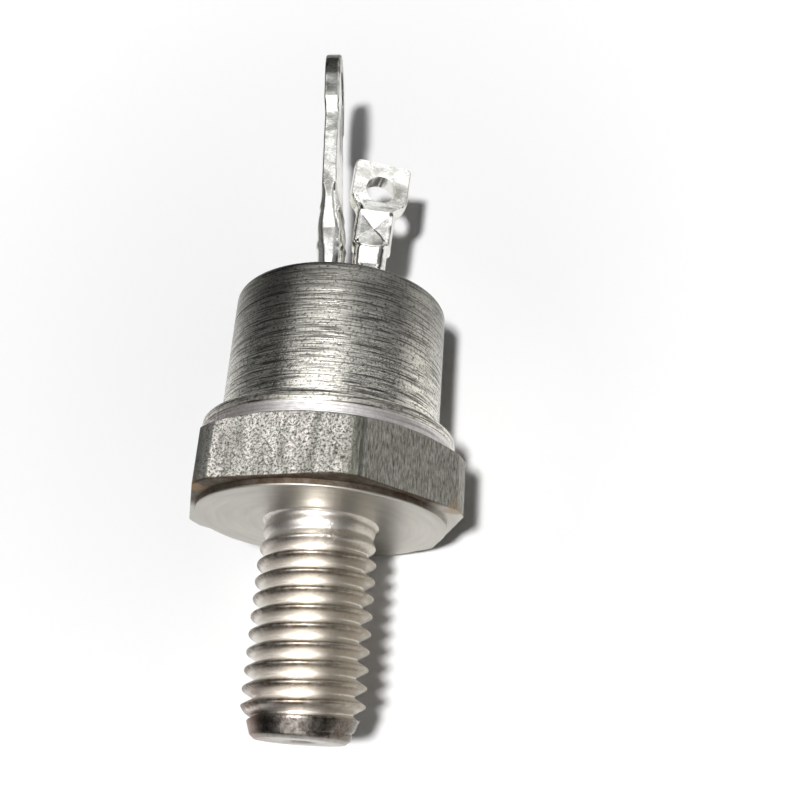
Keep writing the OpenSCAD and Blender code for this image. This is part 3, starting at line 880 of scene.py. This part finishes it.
def spine(start_x, lean, heights):
    """Centre and lean at each height along a terminal."""
    x, z, last, found = start_x, heights[0], heights[0], []
    for height in heights:
        steps = max(1, int((height - last) / BEND_STEP))
        for i in range(steps):
            turn = bent(lean, last + (height - last) * (i + 0.5) / steps)
            x += math.sin(turn) * (height - last) / steps
            z += math.cos(turn) * (height - last) / steps
        last = height
        found.append((x, z, bent(lean, height)))
    return found


def dense(table, step):
    """Heights of a section table, with more between them so that none are further than step."""
    heights = []
    for low, high in zip(table, table[1:]):
        count = max(1, math.ceil((high[0] - low[0]) / step))
        heights += [low[0] + (high[0] - low[0]) * i / count for i in range(count)]
    return heights + [table[-1][0]]


def tube_rows(turn):
    """Rows of a tube up to its crimp: round in the glass, then squeezed flat and turned."""
    round_w = 2 * TUBE_R
    return [(TUBE_LOW, round_w, round_w, TUBE_CORNER, 0), (15.0, round_w, round_w, TUBE_CORNER, 0),
            (15.8, 1.98, 1.5, 0.74, 0.4 * turn)]


def rounded_end(top, width, thick, radius, turn, rise=None):
    """Rows of a plate's end whose outline is rounded on either side, by an arc, or by an ellipse
    of the given rise."""
    rise = rise or radius
    rows = []
    for step in range(1, END_STEPS + 1):
        swing = math.radians(90 * step / END_STEPS * 0.97)
        rows.append((top - rise + rise * math.sin(swing), width - 2 * radius * (1 - math.cos(swing)),
                     thick, TANG_CORNER, turn))
    narrowest = rows[-1][1]
    return rows + [(top, narrowest - 0.1, thick - END_ROUND, TANG_CORNER * 0.7, turn)]


def pressed(u, v, width, thick, height):
    """The v of a point of a crimp's outline, moved in by the four-sided indent on either face."""
    middle = (CRIMP_LOW + CRIMP_HIGH) / 2
    half_l = (CRIMP_HIGH - CRIMP_LOW) / 2
    along = abs(height - middle) / half_l
    if abs(v) > thick * INDENT_FACE:
        across = abs(u) / (width / 2 - INDENT_RIM)
        v -= math.copysign(INDENT_DEPTH * max(0.0, 1 - max(across, along)), v)
    return v


def make_terminal(name, table, start_x, lean, face_turn, hole, material, node):
    """A terminal lofted through its sections (height, width, thickness, corner, turn), with a hole
    (height, radius) in its tang."""
    heights = dense(table, ROW_STEP)
    points = []
    for height, (x, z, tilt) in zip(heights, spine(start_x, lean, heights)):
        width, thick, corner, turn = between(table, height)
        turn = math.radians(face_turn + turn)
        sagging = 1 - smoothstep(0.1, 0.6, abs(height - CRIMP_LOW))
        for u, v in section(width, thick, corner, OUTLINE_POINTS):
            v = pressed(u, v, width, thick, height)
            sag = CRIMP_SAG * (1 - (u / (CRIMP_W / 2)) ** 2) * sagging
            across = u * math.cos(turn) - v * math.sin(turn)
            out = u * math.sin(turn) + v * math.cos(turn)
            px, pz = x + across * math.cos(tilt), z - across * math.sin(tilt) - sag
            points.append((px * math.cos(ROW_TURN) - out * math.sin(ROW_TURN),
                           px * math.sin(ROW_TURN) + out * math.cos(ROW_TURN), pz))
    faces = capped(points, len(heights), OUTLINE_POINTS)
    piece = build(name, points, faces, material, node, TERMINAL_SHARP)
    hole_turn = math.radians(face_turn + between(table, hole[0])[3])
    cut_hole(piece, hole, start_x, lean, hole_turn, heights)


def hole_cutter(name, hole, start_x, lean, turn, heights):
    """A round bar through a tang where its hole is."""
    height, radius = hole
    x, z, tilt = spine(start_x, lean, [h for h in heights if h < height] + [height])[-1]
    centre = placed((x * math.cos(ROW_TURN), x * math.sin(ROW_TURN), z))
    facing = Matrix.Rotation(ROW_TURN, 3, "Z") @ Matrix.Rotation(tilt, 3, "Y") @ Matrix.Rotation(turn, 3, "Z")
    direction = placed(facing @ Vector((0, -1, 0))).normalized()
    turned = Matrix.Translation(centre) @ direction.to_track_quat("Z", "Y").to_matrix().to_4x4()
    work = bmesh.new()
    bmesh.ops.create_cone(work, cap_ends=True, segments=CUTTER_SIDES, radius1=radius * MM,
                          radius2=radius * MM, depth=CUTTER_L * MM)
    bmesh.ops.transform(work, verts=work.verts, matrix=turned)
    mesh = bpy.data.meshes.new(name)
    work.to_mesh(mesh)
    work.free()
    cutter = bpy.data.objects.new(name, mesh)
    bpy.context.scene.collection.objects.link(cutter)
    return cutter


def cut_hole(piece, hole, start_x, lean, turn, heights):
    """Cuts a round hole through a tang."""
    cutter = hole_cutter(piece.name + "_cutter", hole, start_x, lean, turn, heights)
    piece.modifiers.remove(piece.modifiers["weighted"])
    cut = piece.modifiers.new("hole", "BOOLEAN")
    cut.operation = "DIFFERENCE"
    cut.solver = "EXACT"
    cut.object = cutter
    bpy.context.view_layer.update()
    evaluated = piece.evaluated_get(bpy.context.evaluated_depsgraph_get())
    piece.data = bpy.data.meshes.new_from_object(evaluated)
    piece.modifiers.remove(piece.modifiers["hole"])
    bpy.data.objects.remove(cutter)
    piece.data.set_sharp_from_angle(angle=math.radians(TERMINAL_SHARP))
    add_weighting(piece)


# Sections of the terminals: height, width, thickness, corner, turn in degrees
GATE_ROWS = tube_rows(1) + [
    (16.1, 2.02, 1.4, 0.6, 0.6),
    (CRIMP_LOW - 0.1, 2.06, 1.6, 0.6, 1), (CRIMP_LOW - 0.04, 2.2, 1.64, 0.6, 1),
    (CRIMP_LOW + 0.04, 2.36, 1.78, 0.52, 1), (CRIMP_LOW + 0.12, CRIMP_W, CRIMP_T, 0.46, 1),
    (CRIMP_HIGH, CRIMP_W, CRIMP_T, 0.42, 2),
    (20.0, 2.42, 1.55, 0.36, 4), (20.3, 2.75, 1.26, 0.26, 7), (20.55, 3.2, 1.13, 0.2, GATE_TURN - 1),
    (20.8, 3.48, GATE_TANG_T, 0.18, GATE_TURN), (21.0, GATE_TANG_W, GATE_TANG_T, TANG_CORNER, GATE_TURN),
    (GATE_TOP - 0.22, GATE_TANG_W, GATE_TANG_T, TANG_CORNER, GATE_TURN),
] + rounded_end(GATE_TOP, GATE_TANG_W, GATE_TANG_T, GATE_END_R, GATE_TURN)
CATHODE_ROWS = tube_rows(-5) + [
    (16.3, 2.04, 1.56, 0.72, -6), (16.9, 2.1, 1.62, 0.74, -8), (17.5, 2.12, 1.76, 0.76, -9),
    (18.2, 2.16, 1.9, 0.78, -9), (18.8, 2.3, 1.8, 0.76, -9), (19.5, 2.46, 1.44, 0.64, -9),
    (20.2, 2.6, 1.12, 0.5, -8.5), (20.7, 2.66, 1.0, 0.4, -8.3), (21.3, 2.68, 0.94, 0.2, -8),
    (22.5, STEM_W, STEM_T, TANG_CORNER, -7), (24.5, STEM_W, STEM_T, TANG_CORNER, -6),
    (TANG_LOW - 0.6, 2.72, STEM_T, TANG_CORNER, -3.5), (TANG_LOW - 0.45, 2.8, 0.93, TANG_CORNER, -3.3),
    (TANG_LOW + 0.08, TANG_W, TANG_T, TANG_CORNER, -2.5),
    (TANG_TOP - 2.5, TANG_END_W, TANG_T, TANG_CORNER, TANG_END_TURN),
] + rounded_end(TANG_TOP, TANG_END_W, TANG_T, TANG_END_R, TANG_END_TURN, TANG_END_RISE)

# Pieces, and the materials of the CAD nodes that stay

make_hexagon(hexagon_metal())
make_stud(stud_metal())
make_ring(ring_metal())
make_cap(cap_metal())
make_glass(glassy("seal_glass", (0.05, 0.1, 0.085)))
tinned = lead_metal()
make_terminal("gate_tang", GATE_ROWS, GATE_X, GATE_LEAN, 0, GATE_HOLE, tinned,
              "gate_terminal")
make_terminal("cathode_tang", CATHODE_ROWS, CATHODE_X, CATHODE_LEAN, 90, CATHODE_HOLE, tinned,
              "cathode_terminal")

INNER = {
    "backing_solder": plain_metal("solder", (0.6, 0.6, 0.62), 0.5),
    "backing_plate": plain_metal("molybdenum", (0.5, 0.5, 0.53), 0.4),
    "die_bond": plain_metal("bond_alloy", (0.68, 0.68, 0.7), 0.45),
    "silicon_die": matte("silicon", (0.16, 0.17, 0.21), 0.3),
    "edge_varnish": matte("varnish", (0.4, 0.12, 0.06), 0.25),
    "cathode_contact": plain_metal("contact_metal", (0.62, 0.62, 0.64), 0.35),
    "cathode_lead": plain_metal("lead_copper", (0.78, 0.45, 0.3), 0.35),
    "gate_lead": plain_metal("gate_wire", (0.78, 0.77, 0.72), 0.3),
    "gate_sleeve": matte("sleeve", (0.85, 0.85, 0.8), 0.5),
}
for node_name, node_material in INNER.items():
    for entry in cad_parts[node_name].material_slots:
        entry.link = "DATA"
        entry.material = node_material


# Floor, light and camera

def make_floor():
    """A plain white floor that the part lies on. Away from the part it is lifted to white for the
    camera, and reflections show it dark."""
    material, tree, shader = new_material("floor")
    shader.inputs["Roughness"].default_value = 0.9
    rays = add(tree, "ShaderNodeLightPath").outputs
    seen = math_node(tree, "MAXIMUM", rays["Is Camera Ray"], rays["Is Glossy Ray"])
    seen = math_node(tree, "MAXIMUM", seen, rays["Is Transmission Ray"])
    shader.inputs["Emission Color"].default_value = (1.0, 1.0, 1.0, 1.0)
    away = distance_mm(tree, FLOOR_MIDDLE)
    lift = ramp(tree, away, *FLOOR_LIFT_RANGE, FLOOR_LIFT, FLOOR_EDGE_LIFT)
    wide = times(tree, ramp(tree, away, *FLOOR_WIDE_RANGE, 0.0, FLOOR_WIDE_LIFT), rays["Is Camera Ray"])
    tree.links.new(math_node(tree, "MULTIPLY_ADD", seen, lift, wide), shader.inputs["Emission Strength"])
    far = times(tree, ramp(tree, away, *FLOOR_FAR_RANGE), rays["Is Glossy Ray"])
    tree.links.new(mixed(tree, far, FLOOR_WHITE, FLOOR_FAR), shader.inputs["Base Color"])
    corners = ((-1, -1), (1, -1), (1, 1), (-1, 1))
    mesh = bpy.data.meshes.new("floor")
    mesh.from_pydata([(x * FLOOR_HALF, y * FLOOR_HALF, FLOOR_Z) for x, y in corners], [], [(0, 1, 2, 3)])
    mesh.materials.append(material)
    floor = bpy.data.objects.new("floor", mesh)
    bpy.context.scene.collection.objects.link(floor)


def make_lamp():
    """The square key lamp, which looks at its target."""
    away = (Vector(KEY_TARGET) - Vector(KEY_PLACE)) * MM
    data = bpy.data.lights.new("key", "AREA")
    data.shape = "SQUARE"
    data.size = KEY_SIZE * MM
    data.energy = KEY_LEVEL * math.pi ** 2 * away.length_squared
    lamp = bpy.data.objects.new("key", data)
    lamp.location = Vector(KEY_PLACE) * MM
    lamp.rotation_mode = "QUATERNION"
    lamp.rotation_quaternion = away.to_track_quat("-Z", "Y")
    bpy.context.scene.collection.objects.link(lamp)


def make_world():
    """A dim room. Reflections also show its pale walls, and the camera sees it white."""
    world = bpy.data.worlds.new("world")
    bpy.context.scene.world = world
    world.use_nodes = True
    tree = world.node_tree
    direction = add(tree, "ShaderNodeTexCoord").outputs["Generated"]
    x, y, z = add(tree, "ShaderNodeSeparateXYZ", {0: direction}).outputs
    turn = math_node(tree, "DEGREES", math_node(tree, "ARCTAN2", x, z))
    pale = ROOM_BASE
    for left, right, side, low, high, edge, brightness in ROOM:
        part = times(tree, band(tree, turn, left, right, side), band(tree, y, low, high, edge))
        pale = math_node(tree, "MULTIPLY_ADD", part, brightness, pale)
    rays = add(tree, "ShaderNodeLightPath").outputs
    seen = math_node(tree, "MAXIMUM", rays["Is Glossy Ray"], rays["Is Transmission Ray"])
    shown = math_node(tree, "MULTIPLY_ADD", pale, seen, ROOM_DIM)
    white = math_node(tree, "MULTIPLY_ADD", rays["Is Camera Ray"], ROOM_WHITE, shown)
    background = tree.nodes["Background"]
    background.inputs["Color"].default_value = ROOM_COLOUR
    tree.links.new(white, background.inputs["Strength"])


def make_camera():
    """The photograph's view."""
    data = bpy.data.cameras.new("camera")
    data.lens = LENS
    data.sensor_width = SENSOR
    data.clip_start = NEAREST
    camera = bpy.data.objects.new("camera", data)
    back = CAMERA_RIGHT.cross(CAMERA_UP)
    turn = Matrix((CAMERA_RIGHT, CAMERA_UP, back)).transposed()
    camera.matrix_world = Matrix.Translation(CAMERA_PLACE) @ turn.to_4x4()
    bpy.context.scene.collection.objects.link(camera)
    bpy.context.scene.camera = camera


make_floor()
make_world()
make_lamp()
make_camera()
bpy.context.scene.view_settings.view_transform = "Standard"
